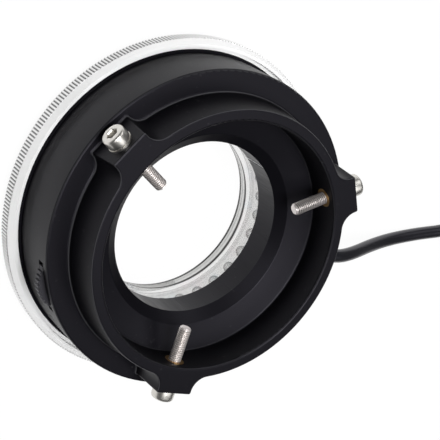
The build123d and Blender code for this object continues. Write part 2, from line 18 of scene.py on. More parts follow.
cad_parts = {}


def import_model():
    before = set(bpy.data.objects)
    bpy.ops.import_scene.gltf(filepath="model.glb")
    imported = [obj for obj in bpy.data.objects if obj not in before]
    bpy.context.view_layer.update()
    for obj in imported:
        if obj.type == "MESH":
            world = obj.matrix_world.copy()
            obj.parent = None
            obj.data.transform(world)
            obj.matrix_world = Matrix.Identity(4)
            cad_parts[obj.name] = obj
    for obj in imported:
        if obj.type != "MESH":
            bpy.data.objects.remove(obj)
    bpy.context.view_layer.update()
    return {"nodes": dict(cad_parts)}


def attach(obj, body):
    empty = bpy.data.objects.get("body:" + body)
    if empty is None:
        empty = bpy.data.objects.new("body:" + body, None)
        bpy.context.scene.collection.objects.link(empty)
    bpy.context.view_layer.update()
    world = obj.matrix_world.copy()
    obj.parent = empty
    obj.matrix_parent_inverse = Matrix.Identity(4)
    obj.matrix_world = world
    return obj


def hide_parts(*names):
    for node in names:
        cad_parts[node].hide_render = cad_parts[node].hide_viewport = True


LOG = logging.getLogger("ring_light")
MM = 0.001

# How deep the patterns of the bump maps are, in millimetres
GRAIN_DEPTH = 0.04
LATHE_DEPTH = 0.03
STREAK_DEPTH = 0.05

Colour = tuple[float, float, float]
Point = tuple[float, float]
Limits = tuple[float, float]
Place = tuple[float, float, float]
Socket = bpy.types.NodeSocket


class Body(str, Enum):
    """The bodies that the new pieces ride on."""

    LAMP = "lamp"
    SCREW_A = "clamp_screw_a"
    SCREW_B = "clamp_screw_b"
    SCREW_C = "clamp_screw_c"


# Grids and meshes


def ring_angles(columns: int) -> np.ndarray:
    """Angles evenly round a full turn, in radians, without the closing one."""
    return np.arange(columns) * (2 * math.pi / columns)


def grid_faces(rows: int, columns: int, wrap_columns: bool) -> np.ndarray:
    """Quads between neighbouring points of a grid.

    Args:
        rows: Points along the first parameter.
        columns: Points along the second parameter.
        wrap_columns: Whether the last column joins the first.

    Returns:
        An array of vertex numbers, four to a face.
    """
    index = np.arange(rows * columns).reshape(rows, columns)
    if wrap_columns:
        index = np.concatenate([index, index[:, :1]], axis=1)
    corners = [index[:-1, :-1], index[:-1, 1:], index[1:, 1:], index[1:, :-1]]
    return np.stack(corners, axis=-1).reshape(-1, 4)


def surface(
    name: str,
    grids: list[np.ndarray],
    *,
    wrap_columns: bool = True,
    poles: bool = False,
    sharp_degrees: float = 38.0,
) -> bpy.types.Object:
    """A mesh object made of point grids.

    Args:
        name: The object's name.
        grids: Arrays of points (rows, columns, 3) in millimetres, each one sheet of the mesh.
        wrap_columns: Whether each grid's last column joins its first.
        poles: Whether the first and last rows close to a point at their own centre.
        sharp_degrees: Edges that turn by more than this stay sharp.

    Returns:
        The object, at the origin, linked to the scene.
    """
    points, faces, base = [], [], 0
    for grid in grids:
        rows, columns = grid.shape[:2]
        flat = grid.reshape(-1, 3)
        faces.extend((grid_faces(rows, columns, wrap_columns) + base).tolist())
        if poles:
            ends = np.stack([grid[0].mean(axis=0), grid[-1].mean(axis=0)])
            here = np.arange(columns) + base
            after = np.roll(here, -1)
            last_row = (rows - 1) * columns
            pole = np.full(columns, base + rows * columns)
            first_fan = np.stack([pole, after, here], axis=1)
            last_fan = np.stack([here + last_row, after + last_row, pole + 1], axis=1)
            faces.extend(first_fan.tolist() + last_fan.tolist())
            flat = np.concatenate([flat, ends])
        points.append(flat)
        base += len(flat)
    mesh = bpy.data.meshes.new(name)
    mesh.from_pydata((np.concatenate(points) * MM).tolist(), [], faces)
    mesh.validate()
    mesh.shade_smooth()
    mesh.set_sharp_from_angle(angle=math.radians(sharp_degrees))
    made = bpy.data.objects.new(name, mesh)
    bpy.context.scene.collection.objects.link(made)
    return made


def rounded_outline(corners: list[Point], reaches: list[float], steps: int = 5) -> np.ndarray:
    """An open outline whose inner corners are rounded.

    Each corner gives way to the quadratic curve (1 - t)^2 start + 2 t (1 - t) corner + t^2 end, which
    touches both of its sides, with start and end as far from the corner as its rounding reaches.

    Args:
        corners: Points (radius, height) of the outline.
        reaches: How far back from each inner corner the rounding starts.
        steps: Points on each rounding.

    Returns:
        The outline's points, as rows of (radius, height).
    """
    line = np.array(corners, dtype=float)
    made = [line[:1]]
    share = np.linspace(0, 1, steps)[:, None]
    for before, here, after, reach in zip(line, line[1:], line[2:], reaches):
        start = here + (before - here) / np.linalg.norm(before - here) * reach
        end = here + (after - here) / np.linalg.norm(after - here) * reach
        made.append((1 - share) ** 2 * start + 2 * share * (1 - share) * here + share**2 * end)
    made.append(line[-1:])
    return np.concatenate(made)


def polar(radius: np.ndarray, angles: np.ndarray, height: np.ndarray) -> np.ndarray:
    """Points (r cos a, r sin a, z) from radii, angles and heights of shapes that fit together."""
    return np.stack([radius * np.cos(angles), radius * np.sin(angles), height + 0 * angles], axis=-1)


def revolve(outline: np.ndarray, angles: np.ndarray) -> np.ndarray:
    """A surface of revolution about Z: each outline point (r, z) goes to (r cos a, r sin a, z).

    Args:
        outline: Rows of (radius, height).
        angles: The angles in radians.

    Returns:
        A grid of points, one row per outline point and one column per angle.
    """
    return polar(outline[:, :1], angles, outline[:, 1:])


def turned(grid: np.ndarray, axes: np.ndarray, origin: np.ndarray) -> np.ndarray:
    """A grid moved into another frame: each point becomes origin + x X + y Y + z Z.

    Args:
        grid: The points.
        axes: The frame's X, Y and Z directions as rows.
        origin: The frame's origin.

    Returns:
        The moved points.
    """
    return grid @ axes + origin


def outward_axes(bearing: float) -> np.ndarray:
    """A frame whose Z points away from the light's axis at a bearing, and whose X points down."""
    angle = math.radians(bearing)
    outward = np.array([math.cos(angle), math.sin(angle), 0.0])
    down = np.array([0.0, 0.0, -1.0])
    return np.stack([down, np.cross(outward, down), outward])


# Shader wiring


class Wiring:
    """A node tree under construction."""

    def __init__(self, tree: bpy.types.NodeTree) -> None:
        """Starts on an existing tree."""
        self.tree = tree

    def feed(self, socket: Socket, value: object) -> None:
        """Joins a socket to another socket, or sets its value."""
        if isinstance(value, Socket):
            self.tree.links.new(value, socket)
        else:
            socket.default_value = value

    def node(self, kind: str, inputs: dict | None = None, **options: object) -> bpy.types.Node:
        """Adds a node.

        Args:
            kind: The node's type name.
            inputs: Input socket names or numbers with a value or a socket for each.
            options: Properties of the node itself.

        Returns:
            The node.
        """
        made = self.tree.nodes.new(kind)
        for key, value in options.items():
            setattr(made, key, value)
        for key, value in (inputs or {}).items():
            self.feed(made.inputs[key], value)
        return made

    def group(self, tree: bpy.types.NodeTree, values: dict[str, float]) -> bpy.types.bpy_prop_collection:
        """The outputs of a shared group, placed in this tree with its own values."""
        return self.node("ShaderNodeGroup", values, node_tree=tree).outputs

    def math(self, operation: str, first: object, second: object = 0.0, clamp: bool = False) -> Socket:
        """The result of one sum or comparison."""
        made = self.node("ShaderNodeMath", {0: first, 1: second}, operation=operation, use_clamp=clamp)
        return made.outputs[0]

    def product(self, first: object, *others: object) -> Socket:
        """The product of several masks or values."""
        for other in others:
            first = self.math("MULTIPLY", first, other)
        return first

    def centred(self, noise: Socket) -> Socket:
        """A noise brought to swing about 0 instead of a half."""
        return self.math("SUBTRACT", noise, 0.5)

    def remap(self, value: object, low: float, high: float, to_low: float, to_high: float) -> Socket:
        """A value carried from one range to another, and clamped."""
        given = {"Value": value, "From Min": low, "From Max": high, "To Min": to_low, "To Max": to_high}
        return self.node("ShaderNodeMapRange", given).outputs["Result"]

    def rise(self, value: object, reach: Limits, most: float = 1.0) -> Socket:
        """A mask that rises from 0 to its most while a value goes through its reach."""
        return self.remap(value, *reach, 0.0, most)

    def blend(self, share: object, first: object, second: object) -> Socket:
        """A colour between two colours, which are inputs 6 and 7 of a Mix node set to colour."""
        given = {0: share, 6: first, 7: second}
        return self.node("ShaderNodeMix", given, data_type="RGBA").outputs[2]

    def noise(self, vector: Socket, scale: object, detail: float = 2.0, roughness: float = 0.5) -> Socket:
        """A noise's value at a place."""
        given = {"Vector": vector, "Scale": scale, "Detail": detail, "Roughness": roughness}
        return self.node("ShaderNodeTexNoise", given).outputs[0]

    def bump(self, strength: object, depth: float, height: Socket) -> Socket:
        """A normal that follows a pattern of a depth in millimetres."""
        given = {"Strength": strength, "Distance": depth * MM, "Height": height}
        return self.node("ShaderNodeBump", given).outputs[0]

    def place(self) -> Socket:
        """Object coordinates, in metres in the model's frame."""
        return self.node("ShaderNodeTexCoord").outputs["Object"]

    def off_axis(self) -> tuple[Socket, Socket]:
        """The distance off the light's axis and the height, as two sockets."""
        parts = self.node("ShaderNodeSeparateXYZ", {0: self.place()}).outputs
        square = self.math("ADD", self.product(parts[0], parts[0]), self.product(parts[1], parts[1]))
        return self.math("SQRT", square), parts[2]

    def line(self, value: object, middle: float, width: float) -> Socket:
        """A mask that is 1 over the inner half of a narrow band of a value, and falls to 0 at its ends."""
        away = self.math("ABSOLUTE", self.math("SUBTRACT", value, middle))
        return self.remap(away, width / 4, width / 2, 1.0, 0.0)

    def shader(self) -> bpy.types.Node:
        """The material's Principled shader."""
        return next(node for node in self.tree.nodes if node.type == "BSDF_PRINCIPLED")

    def show(self, shader: bpy.types.Node) -> None:
        """Joins a shader to the material's surface."""
        self.feed(self.node("ShaderNodeOutputMaterial").inputs["Surface"], shader.outputs[0])

    def dress(self, values: dict[str, object]) -> None:
        """Feeds inputs of the Principled shader, each by its name."""
        for key, value in values.items():
            self.feed(self.shader().inputs[key], value)

    def paint(self, share: Socket, colour: Colour) -> None:
        """Lays a colour over the Principled shader's present one, where a mask says."""
        base = self.shader().inputs["Base Color"]
        present = base.links[0].from_socket if base.is_linked else tuple(base.default_value)
        self.feed(base, self.blend(share, present, (*colour, 1.0)))


def shared_group(name: str, inputs: dict[str, float], outputs: dict[str, str]) -> tuple[Wiring, dict, dict]:
    """A new node group with named float inputs and named outputs.

    Args:
        name: The group's name.
        inputs: Each input's name and usual value.
        outputs: Each output's name and socket type.

    Returns:
        The wiring, the sockets inside that give the inputs, and the ones that take the outputs.
    """
    tree = bpy.data.node_groups.new(name, "ShaderNodeTree")
    for key, value in inputs.items():
        socket = tree.interface.new_socket(name=key, in_out="INPUT", socket_type="NodeSocketFloat")
        socket.default_value = value
    for key, kind in outputs.items():
        tree.interface.new_socket(name=key, in_out="OUTPUT", socket_type=kind)
    wires = Wiring(tree)
    given = wires.node("NodeGroupInput").outputs
    taken = wires.node("NodeGroupOutput").inputs
    return wires, {key: given[key] for key in inputs}, {key: taken[key] for key in outputs}


def blank_material(name: str) -> tuple[bpy.types.Material, Wiring]:
    """A new material without nodes, and its wiring."""
    material = bpy.data.materials.new(name)
    material.use_nodes = True
    material.node_tree.nodes.clear()
    return material, Wiring(material.node_tree)


# Patterns


@dataclass(frozen=True)
class Patches:
    """Soft patches all over a surface: a noise of so many features per metre, as a mask."""

    scale: float
    reach: Limits
    most: float = 1.0
    detail: float = 2.0
    roughness: float = 0.5

    def mask(self, wires: Wiring) -> Socket:
        """A mask that rises from 0 to its most while the noise goes through its reach."""
        noise = wires.noise(wires.place(), self.scale, self.detail, self.roughness)
        return wires.rise(noise, self.reach, self.most)


DUSTY_PLACES = Patches(70.0, (0.45, 0.65))
STAINS = Patches(240.0, (0.45, 0.75), 0.45, detail=4.0, roughness=0.6)
WARM_PEARL = Patches(160.0, (0.48, 0.68), 0.7)
COOL_PEARL = Patches(230.0, (0.50, 0.70), 0.7)


@dataclass(frozen=True)
class EdgeHighlights:
    """Painted highlights along a moulding's rounded edges. Its lengths are distances off the light's axis."""

    slope: float = 0.66
    slope_width: float = 0.5
    bore: float = 26.2
    mouth: Limits = (31.5, 32.5)
    mouth_share: float = 0.3
    rim: Limits = (38.5, 39.0)
    rim_share: float = 0.45

    def mask(self, wires: Wiring, amount: object) -> Socket:
        """A mask of painted highlight, for the places where the surface turns from level to upright.

        It is 1 where the normal's height is the slope, 0 inside the bore, and fainter at the collar's mouth
        and at the housing's outer rim.

        Args:
            wires: The tree it is built in.
            amount: How strong the lines are, as a value or a socket.

        Returns:
            The mask's socket.
        """
        facing = wires.node("ShaderNodeNewGeometry").outputs["Normal"]
        upward = wires.node("ShaderNodeSeparateXYZ", {0: facing}).outputs[2]
        radius, _ = wires.off_axis()
        outside = wires.math("GREATER_THAN", radius, self.bore * MM)
        mouth = wires.remap(radius, self.mouth[0] * MM, self.mouth[1] * MM, self.mouth_share, 1.0)
        rim = wires.remap(radius, self.rim[0] * MM, self.rim[1] * MM, 1.0, self.rim_share)
        return wires.product(wires.line(upward, self.slope, self.slope_width), outside, mouth, rim, amount)


def grain_group() -> bpy.types.NodeTree:
    """Moulded grain: a small even relief, a roughness that drifts, and a mask of painted highlights along the
    rounded edges.
    """
    wires, given, taken = shared_group(
        "fine_grain",
        {"Scale": 2200.0, "Relief": 0.2, "Roughness": 0.4, "Spread": 0.1, "Edge": 0.0},
        {"Roughness": "NodeSocketFloat", "Normal": "NodeSocketVector", "Edges": "NodeSocketFloat"},
    )
    drift_scale, pit_share = 55.0, 0.6
    place = wires.place()
    pits = wires.noise(place, given["Scale"], detail=3.0, roughness=0.6)
    drift = wires.noise(place, drift_scale, detail=3.0, roughness=0.55)
    swing = wires.product(wires.centred(drift), given["Spread"])
    fine = wires.product(wires.centred(pits), given["Spread"], pit_share)
    total = wires.math("ADD", given["Roughness"], wires.math("ADD", swing, fine), clamp=True)
    wires.feed(taken["Roughness"], total)
    wires.feed(taken["Normal"], wires.bump(given["Relief"], GRAIN_DEPTH, pits))
    # The mask of painted highlights along the rounded edges
    wires.feed(taken["Edges"], EdgeHighlights().mask(wires, given["Edge"]))
    return wires.tree


def turning_group() -> bpy.types.NodeTree:
    """Lathe marks about the light's axis: a noise of the distance off the axis and the height alone."""
    wires, given, taken = shared_group(
        "turning_marks",
        {"Fineness": 9000.0, "Relief": 0.1, "Roughness": 0.25, "Spread": 0.1},
        {"Roughness": "NodeSocketFloat", "Normal": "NodeSocketVector"},
    )
    drift_scale = 60.0
    radius, height = wires.off_axis()
    profile = wires.node("ShaderNodeCombineXYZ", {0: radius, 1: height}).outputs[0]
    marks = wires.noise(profile, given["Fineness"], detail=2.0, roughness=0.6)
    drift = wires.noise(wires.place(), drift_scale)
    swing = wires.product(wires.math("ADD", wires.centred(marks), wires.centred(drift)), given["Spread"])
    wires.feed(taken["Roughness"], wires.math("ADD", given["Roughness"], swing, clamp=True))
    wires.feed(taken["Normal"], wires.bump(given["Relief"], LATHE_DEPTH, marks))
    return wires.tree


def dust_group() -> bpy.types.NodeTree:
    """Sparse pale specks, as a mask from 0 to 1."""
    wires, given, taken = shared_group(
        "dust_specks", {"Scale": 900.0, "Amount": 0.1}, {"Mask": "NodeSocketFloat"}
    )
    speck_reach = (0.70, 0.80)
    specks = wires.rise(wires.noise(wires.place(), given["Scale"], detail=1.0, roughness=0.4), speck_reach)
    wires.feed(taken["Mask"], wires.product(specks, DUSTY_PLACES.mask(wires), given["Amount"]))
    return wires.tree


class Groups:
    """The shader groups that the finishes share."""

    def __init__(self) -> None:
        """Builds each group once."""
        self.grain = grain_group()
        self.turning = turning_group()
        self.dust = dust_group()


# Finishes


@dataclass(frozen=True)
class Finish:
    """The start of every finish: a name, a colour and a gloss."""

    name: str
    colour: Colour
    roughness: float

    def start(self) -> tuple[bpy.types.Material, Wiring]:
        """A new material with its Principled shader.

        Returns:
            The material and its wiring.
        """
        material, wires = blank_material(self.name)
        given = {"Base Color": (*self.colour, 1.0), "Roughness": self.roughness}
        wires.show(wires.node("ShaderNodeBsdfPrincipled", given))
        return material, wires

    def build(self, groups: Groups) -> bpy.types.Material:
        """Makes the material, which each kind of finish does in its own way."""
        raise NotImplementedError


@dataclass(frozen=True)
class MouldedPlastic(Finish):
    """Moulded plastic or rubber: fine grain, drifting gloss, a few specks of dust, and painted highlights
    along rounded edges.
    """

    grain: float = 2200.0
    relief: float = 0.2
    spread: float = 0.12
    specular: float = 0.5
    dust: float = 0.08
    dust_scale: float = 900.0
    dust_lift: float = 0.25
    # How strong the painted highlights along rounded edges are, and their colour
    edge: float = 0.0
    edge_highlight_colour: Colour = (0.06, 0.06, 0.065)
    sheen: Colour = (0.88, 0.85, 1.0)

    def build(self, groups: Groups) -> bpy.types.Material:
        """Makes the material."""
        material, wires = self.start()
        values = {"Scale": self.grain, "Relief": self.relief, "Roughness": self.roughness}
        grain = wires.group(groups.grain, {**values, "Spread": self.spread, "Edge": self.edge})
        specks = wires.group(groups.dust, {"Scale": self.dust_scale, "Amount": self.dust})
        wires.dress({"Roughness": grain["Roughness"], "Normal": grain["Normal"]})
        wires.paint(specks["Mask"], tuple(min(1.0, part + self.dust_lift) for part in self.colour))
        # Paints the highlights along the rounded edges
        wires.paint(grain["Edges"], self.edge_highlight_colour)
        wires.dress({"Specular IOR Level": self.specular, "Specular Tint": (*self.sheen, 1.0)})
        return material


@dataclass(frozen=True)
class MachinedMetal(Finish):
    """Turned metal: lathe marks in the gloss and in the relief, and faint stains."""

    fineness: float = 9000.0
    relief: float = 0.1
    spread: float = 0.12
    stain: Colour = (0.5, 0.48, 0.45)

    def build(self, groups: Groups) -> bpy.types.Material:
        """Makes the material."""
        material, wires = self.start()
        values = {"Fineness": self.fineness, "Relief": self.relief, "Roughness": self.roughness}
        marks = wires.group(groups.turning, {**values, "Spread": self.spread})
        wires.dress({"Roughness": marks["Roughness"], "Normal": marks["Normal"], "Metallic": 1.0})
        wires.paint(STAINS.mask(wires), self.stain)
        return material


@dataclass(frozen=True)
class KnurledMetal(MachinedMetal):
    """Turned metal with a knurled band with painted shade in its grooves, under a bevel painted pale and
    mostly non-metallic as a painted highlight.
    """

    root_radius: float = 42.88
    tip_radius: float = 43.1
    band_low: float = 2.2
    band_high: float = 5.4
    # The painted shade in the knurl's grooves
    groove_shade: Colour = (0.06, 0.06, 0.06)
    # The bevel's painted highlight: a pale colour and a low metallic
    bevel: Colour = (1.0, 1.0, 1.0)
    bevel_highlight_metal: float = 0.2

    def build(self, groups: Groups) -> bpy.types.Material:
        """Makes the material."""
        material = super().build(groups)
        wires = Wiring(material.node_tree)
        radius, height = wires.off_axis()
        deep = wires.remap(radius, self.root_radius * MM, self.tip_radius * MM, 1.0, 0.0)
        above = wires.math("GREATER_THAN", height, self.band_low * MM)
        below = wires.math("LESS_THAN", height, self.band_high * MM)
        bevel = wires.math("GREATER_THAN", height, self.band_high * MM)
        # Painted highlight: the bevel is painted pale
        wires.paint(bevel, self.bevel)
        # Painted shade in the grooves, darkest at their roots
        wires.paint(wires.product(deep, above, below), self.groove_shade)
        # The bevel made mostly non-metallic, for its painted highlight
        wires.dress({"Metallic": wires.remap(bevel, 0.0, 1.0, 1.0, self.bevel_highlight_metal)})
        return material


@dataclass(frozen=True)
class ThreadedMetal(MachinedMetal):
    """Plated steel with painted shade in its thread roots, which are marked on the mesh, and a shank painted
    paler and less metallic as painted light.
    """

    # The painted shade in the thread roots, and how fast it deepens with the depth
    root: Colour = (0.05, 0.045, 0.04)
    root_shade_power: float = 0.6
    # Painted light on the shank: a paler colour and a lower metallic, to lift it
    shank: Colour = (0.93, 0.87, 0.85)
    lit_shank_metal: float = 0.65

    def build(self, groups: Groups) -> bpy.types.Material:
        """Makes the material."""
        material = super().build(groups)
        wires = Wiring(material.node_tree)
        marked = wires.node("ShaderNodeAttribute", attribute_name="thread_depth").outputs["Fac"]
        shank = wires.node("ShaderNodeAttribute", attribute_name="shank").outputs["Fac"]
        # Painted light: the shank is painted paler and made less metallic
        wires.paint(shank, self.shank)
        # Painted shade in the thread roots
        wires.paint(wires.math("POWER", marked, self.root_shade_power), self.root)
        wires.dress({"Metallic": wires.remap(shank, 0.0, 1.0, 1.0, self.lit_shank_metal)})
        return material


@dataclass(frozen=True)
class BrushedPlastic(MouldedPlastic):
    """Black sheet with fine streaks along the light's axis, and a painted highlight along the edge beside its
    slit.
    """

    streak_scale: float = 2600.0
    streak_stretch: float = 0.03
    streak_relief: float = 0.35
    streak_reach: Limits = (0.3, 0.7)
    gloss_low: float = 0.1
    gloss_high: float = 0.12
    # Where the painted highlight beside the slit lies, and its colour
    slit_bearing: float = 23.2
    edge_offset: float = 0.85
    edge_width: float = 2.8
    slit_edge_highlight: Colour = (0.5, 0.5, 0.52)

    def build(self, groups: Groups) -> bpy.types.Material:
        """Makes the material."""
        material = super().build(groups)
        wires = Wiring(material.node_tree)
        place = wires.place()
        stretch = (1.0, 1.0, self.streak_stretch)
        drawn_out = wires.node("ShaderNodeMapping", {"Vector": place, "Scale": stretch}).outputs[0]
        streaks = wires.noise(drawn_out, self.streak_scale, detail=3.0, roughness=0.65)
        low, high = self.roughness - self.gloss_low, self.roughness + self.gloss_high
        rough = wires.remap(streaks, *self.streak_reach, low, high)
        wires.dress({"Normal": wires.bump(self.streak_relief, STREAK_DEPTH, streaks), "Roughness": rough})
        parts = wires.node("ShaderNodeSeparateXYZ", {0: place}).outputs
        bearing = wires.math("ARCTAN2", parts[1], parts[0])
        middle = math.radians(self.slit_bearing + self.edge_offset)
        # Painted highlight along the slit's edge
        wires.paint(wires.line(bearing, middle, math.radians(self.edge_width)), self.slit_edge_highlight)
        return material


@dataclass(frozen=True)
class ClearPlastic(Finish):
    """Clear moulded plastic, whose kinds say how much light they let through."""

    alpha: float
    grain: float = 700.0
    relief: float = 0.03
    spread: float = 0.06

    def build(self, groups: Groups) -> bpy.types.Material:
        """Makes the material."""
        material, wires = self.start()
        values = {"Scale": self.grain, "Relief": self.relief, "Roughness": self.roughness}
        grain = wires.group(groups.grain, {**values, "Spread": self.spread})
        wires.dress({"Roughness": grain["Roughness"], "Normal": grain["Normal"]})
        return material


@dataclass(frozen=True)
class MouldedWindow(ClearPlastic):
    """The clear cover: a greyer lip, a pearly tube and painted shade as dark lines at the lip's foot and top
    and between them.
    """

    lip_foot: float = 0.12
    foot_width: float = 1.9
    # A fainter painted shade line between the lip's foot and top
    lip_middle_line: float = 1.7
    middle_line_width: float = 0.6
    middle_line_share: float = 0.35
    lip_top: float = 3.5
    top_width: float = 1.6
    lip_face: float = 22.7
    tube_outer: float = 23.2
    tube_alpha: float = 0.18
    lip_alpha: float = 0.26
    # How dense the painted shade lines are
    shade_line_alpha: float = 0.9
    lip: Colour = (0.62, 0.62, 0.59)
    # The colour of the painted shade lines
    shade_line_colour: Colour = (0.01, 0.01, 0.01)
    warm: Colour = (0.84, 0.60, 0.64)
    cool: Colour = (0.48, 0.70, 0.80)

    def lines(self, wires: Wiring, height: Socket) -> Socket:
        """A mask of the painted shade lines at the lip's foot and top, and of the fainter painted shade line
        between them.
        """
        foot = wires.line(height, self.lip_foot * MM, self.foot_width * MM)
        top = wires.line(height, self.lip_top * MM, self.top_width * MM)
        middle_shade_line = wires.product(wires.line(height, self.lip_middle_line * MM, self.middle_line_width * MM), self.middle_line_share)
        return wires.math("MAXIMUM", wires.math("MAXIMUM", foot, top), middle_shade_line)

    def build(self, groups: Groups) -> bpy.types.Material:
        """Makes the material."""
        material = super().build(groups)
        wires = Wiring(material.node_tree)
        radius, height = wires.off_axis()
        tube = wires.math("LESS_THAN", radius, self.tube_outer * MM)
        inside = wires.math("LESS_THAN", radius, self.lip_face * MM)
        lip = wires.product(inside, wires.math("LESS_THAN", height, self.lip_top * MM))
        lines = wires.product(inside, self.lines(wires, height))
        wires.paint(WARM_PEARL.mask(wires), self.warm)
        wires.paint(COOL_PEARL.mask(wires), self.cool)
        wires.paint(lip, self.lip)
        # Painted shade: dark, denser lines on the lip
        wires.paint(lines, self.shade_line_colour)
        alpha = wires.math("ADD", self.alpha, wires.product(tube, self.tube_alpha))
        alpha = wires.math("ADD", alpha, wires.product(lip, self.lip_alpha))
        alpha = wires.math("ADD", alpha, wires.product(lines, self.shade_line_alpha), clamp=True)
        wires.dress({"Alpha": alpha})
        return material


@dataclass(frozen=True)
class LensPlastic(ClearPlastic):
    """A clear lens with a painted dark outline: near black in colour, it turns opaque towards its outline as
    painted shade.
    """

    dark_outline_alpha: float = 1.0
    dark_outline_power: float = 1.6
    dark_outline_full: float = 0.8

    def build(self, groups: Groups) -> bpy.types.Material:
        """Makes the material."""
        material = super().build(groups)
        wires = Wiring(material.node_tree)
        # Painted shade: the near-black lens turns opaque towards its outline
        facing = wires.node("ShaderNodeLayerWeight").outputs["Facing"]
        share = wires.math("POWER", facing, self.dark_outline_power)
        wires.dress({"Alpha": wires.remap(share, 0.0, self.dark_outline_full, self.alpha, self.dark_outline_alpha)})
        return material


@dataclass(frozen=True)
class PrintedBoard(Finish):
    """A white circuit board with copper tracks that show faintly through its lacquer as rings."""

    track: Colour = (0.78, 0.79, 0.72)
    track_pitch: float = 4.2
    track_reach: Limits = (0.55, 0.75)
    track_most: float = 0.6
    grain: float = 3000.0
    spread: float = 0.08

    def build(self, groups: Groups) -> bpy.types.Material:
        """Makes the material: the tracks follow the sine of the distance off the axis."""
        material, wires = self.start()
        radius, _ = wires.off_axis()
        wave = wires.math("SINE", wires.product(radius, 2 * math.pi / (self.track_pitch * MM)))
        wires.paint(wires.rise(wave, self.track_reach, self.track_most), self.track)
        values = {"Scale": self.grain, "Roughness": self.roughness, "Spread": self.spread}
        wires.dress({"Roughness": wires.group(groups.grain, values)["Roughness"]})
        return material


STEEL: Colour = (0.72, 0.70, 0.66)
STEEL_STAIN: Colour = (0.7, 0.68, 0.64)

# The housing has painted highlights along its rounded edges
BLACK_HOUSING = MouldedPlastic(
    "black_housing", (0.0040, 0.0038, 0.0052), 0.38, relief=0.12, specular=0.155, edge=0.8
)
BLACK_SLEEVE = BrushedPlastic("black_sleeve", (0.006, 0.0057, 0.0075), 0.36, specular=0.20)
BLACK_RUBBER = MouldedPlastic("black_rubber", (0.012, 0.012, 0.012), 0.6, relief=0.3)
WHEEL_BLACK = MouldedPlastic("wheel_black", (0.010, 0.010, 0.011), 0.42)
CABLE_BLACK = MouldedPlastic(
    "cable_black", (0.010, 0.010, 0.012), 0.30, specular=0.55, grain=1500.0, relief=0.02, spread=0.04
)
PLUG_BLACK = MouldedPlastic("plug_black", (0.010, 0.010, 0.011), 0.42, relief=0.3)
TIE_BLACK = MouldedPlastic("tie_black", (0.02, 0.02, 0.02), 0.35)
CORE_RED = MouldedPlastic("core_red", (0.45, 0.02, 0.015), 0.35, relief=0.1)
CHIP_BLACK = MouldedPlastic("chip_black", (0.02, 0.02, 0.02), 0.5)
RING_ALUMINIUM = KnurledMetal("ring_aluminium", (0.95, 0.95, 0.95), 0.30, stain=(0.84, 0.84, 0.84))
BRIGHT_STEEL = MachinedMetal("bright_steel", STEEL, 0.34, fineness=15000.0, relief=0.06, stain=STEEL_STAIN)
SCREW_STEEL = ThreadedMetal("screw_steel", STEEL, 0.36, relief=0.05, stain=STEEL_STAIN)
# A copy of the screw steel with fainter painted shade in its thread roots, for screws b and c
SCREW_STEEL_FAINT_SHADE = ThreadedMetal(
    "screw_steel_faint_shade", STEEL, 0.36, relief=0.05, stain=(0.6, 0.58, 0.54), root=(0.42, 0.39, 0.37)
)
INSERT_BRASS = MachinedMetal("insert_brass", (0.60, 0.38, 0.16), 0.34, stain=(0.35, 0.2, 0.09))
DIAL_METAL = MachinedMetal("dial_metal", (0.6, 0.6, 0.6), 0.3)
PLUG_NICKEL = MachinedMetal(
    "plug_nickel", (0.70, 0.69, 0.65), 0.18, relief=0.01, spread=0.04, stain=(0.62, 0.61, 0.57)
)
CLEAR_WINDOW = MouldedWindow("clear_window", (0.88, 0.87, 0.83), 0.14, alpha=0.08)
# The lenses are near black, for their painted dark outline
LAMP_CLEAR = LensPlastic("lamp_clear", (0.05, 0.05, 0.05), 0.08, alpha=0.06)
WHITE_BOARD = PrintedBoard("white_board", (0.86, 0.87, 0.85), 0.35)
PHOSPHOR = MouldedPlastic("phosphor", (0.85, 0.72, 0.16), 0.6, dust=0.0)

NODE_FINISHES: dict[str, Finish] = {
    "housing": BLACK_HOUSING,
    "inner_sleeve": BLACK_SLEEVE,
    "window_gasket": BLACK_RUBBER,
    "led_board": WHITE_BOARD,
    "resistors": CHIP_BLACK,
    "board_screws": BRIGHT_STEEL,
    "dimmer_dial": DIAL_METAL,
    "strain_relief": CABLE_BLACK,
    "lead_wires": CORE_RED,
    "plug_barrel": PLUG_NICKEL,
    "plug_insulator": PLUG_BLACK,
    "plug_body": PLUG_BLACK,
    "cable_tie": TIE_BLACK,
    "window": CLEAR_WINDOW,
    "knurled_ring": RING_ALUMINIUM,
    "dimmer_wheel": WHEEL_BLACK,
    "wheel_cap": WHEEL_BLACK,
    **{f"thread_insert_{letter}": INSERT_BRASS for letter in "abc"},
    **{f"clamp_washer_{letter}": BRIGHT_STEEL for letter in "abc"},
}


class Workshop:
    """Builds each finish once and puts it on pieces."""

    def __init__(self) -> None:
        """Builds the shared groups."""
        self.groups = Groups()
        self.made: dict[str, bpy.types.Material] = {}

    def material(self, finish: Finish) -> bpy.types.Material:
        """The material of a finish, built when it is first asked for."""
        if finish.name not in self.made:
            self.made[finish.name] = finish.build(self.groups)
        return self.made[finish.name]

    def dress(self, piece: bpy.types.Object, finish: Finish) -> None:
        """Gives a whole piece one finish."""
        piece.data.materials.clear()
        piece.data.materials.append(self.material(finish))

    def dress_node(self, node: bpy.types.Object, finish: Finish) -> None:
        """Gives a carried-over solid its finish through its object's own slots."""
        for place in node.material_slots:
            place.link = "OBJECT"
            place.material = self.material(finish)


# Pieces


